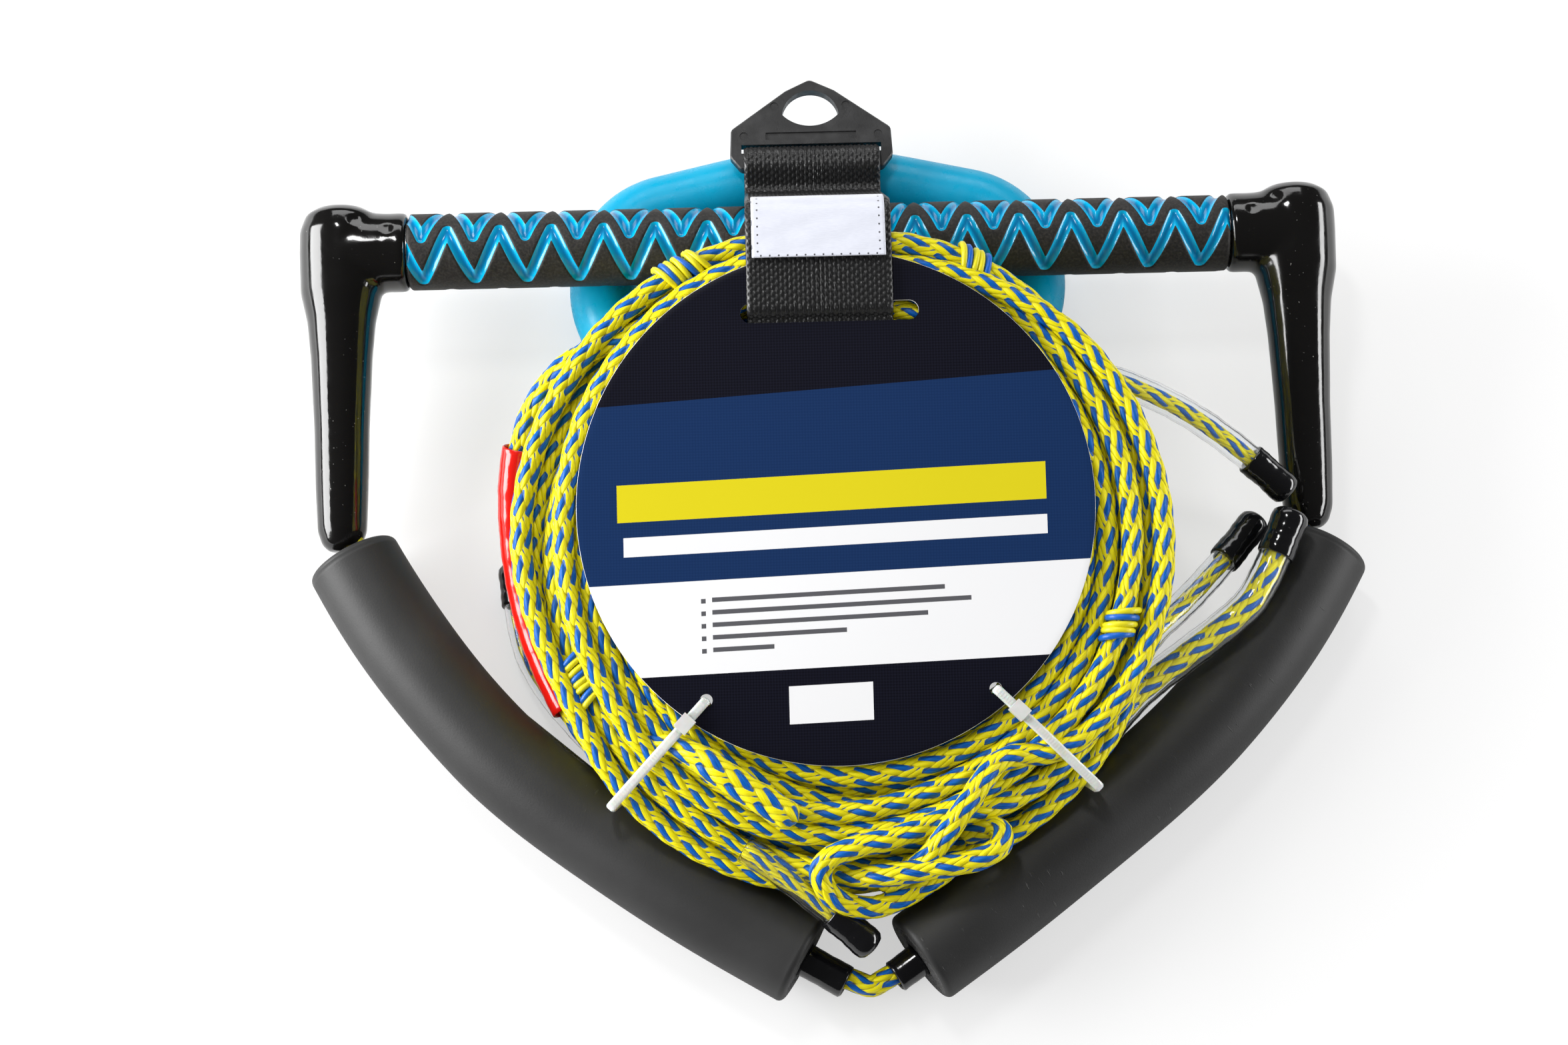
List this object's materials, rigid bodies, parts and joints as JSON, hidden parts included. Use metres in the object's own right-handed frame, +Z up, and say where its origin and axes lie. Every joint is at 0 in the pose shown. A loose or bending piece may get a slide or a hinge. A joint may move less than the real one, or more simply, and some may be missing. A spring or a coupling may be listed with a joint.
{
  "type": "tow rope handle",
  "caption": "Wakeboard tow handle with foam grip and bridle floats, a trick handle, and its tow rope wound in a strapped coil with a round card and a hang tab.",
  "frame": {"origin": "bottom centre of the set without its free rope, on the surface that it lies on", "axes": "+X along the handle bar, +Y from the floats to the bar and hang tab, +Z up off the surface"},
  "size_m": [0.3859, 0.3452, 0.0977],
  "materials": {
    "aluminium": "drawn tube, plain",
    "steel": "plain rivet",
    "eva_cyan": "moulded soft EVA, glossy in the grooves",
    "eva_black": "moulded EVA, fine matte skin",
    "float_foam": "matte closed-cell foam, faint creases",
    "tpr_black": "glossy moulded rubber",
    "tpr_cyan": "satin moulded rubber",
    "sleeve": "glossy shrink tube",
    "clear_tube": "clear vinyl tube",
    "red_tube": "red vinyl tube",
    "rope": "yellow braid with blue tracers",
    "webbing": "coarse woven webbing",
    "label": "white satin patch, dotted stitching, blank",
    "hanger_plastic": "fine moulded texture",
    "card": "printed card with plain colour bands and a white cut edge",
    "tie_nylon": "translucent natural nylon"
  },
  "bodies": {
    "handle_set": {"arm_rivets": "steel", "bar_tube": "aluminium", "bridle_rope": "rope", "card": "card", "clear_tube_a": "clear_tube", "clear_tube_b": "clear_tube", "clear_tube_c": "clear_tube", "clear_tube_d": "clear_tube", "clear_tube_e": "clear_tube", "grip_core": "eva_cyan", "grip_skin": "eva_black", "left_arm_core": "aluminium", "left_arm_cover": "tpr_black", "left_end_tube": "sleeve", "left_float": "float_foam", "left_stop_knot": "rope", "left_tie_band": "tie_nylon", "left_tie_head": "tie_nylon", "marker_rope": "rope", "marker_tube": "red_tube", "right_arm_core": "aluminium", "right_arm_cover": "tpr_black", "right_end_tube": "sleeve", "right_float": "float_foam", "right_stop_knot": "rope", "right_tie_band": "tie_nylon", "right_tie_head": "tie_nylon", "rope_a": "rope", "rope_b": "rope", "rope_c": "rope", "rope_coil": "rope", "rope_d": "rope", "rope_e": "rope", "sleeve_a": "sleeve", "sleeve_b": "sleeve", "sleeve_c": "sleeve", "sleeve_d": "sleeve", "sleeve_e": "sleeve", "strap": "webbing", "strap_label": "label", "trick_handle_core": "aluminium", "trick_handle_cover": "tpr_cyan", "trick_tether": "rope"},
    "hang_tab": {"hanger": "hanger_plastic"}
  },
  "joints": [
    {"name": "hanger_swing", "type": "hinge", "parent": "handle_set", "child": "hang_tab", "pos_m": [-0.00366, 0.13933, 0.0324], "axis": [1, 0, 0], "range_deg": [0, 104]}
  ]
}
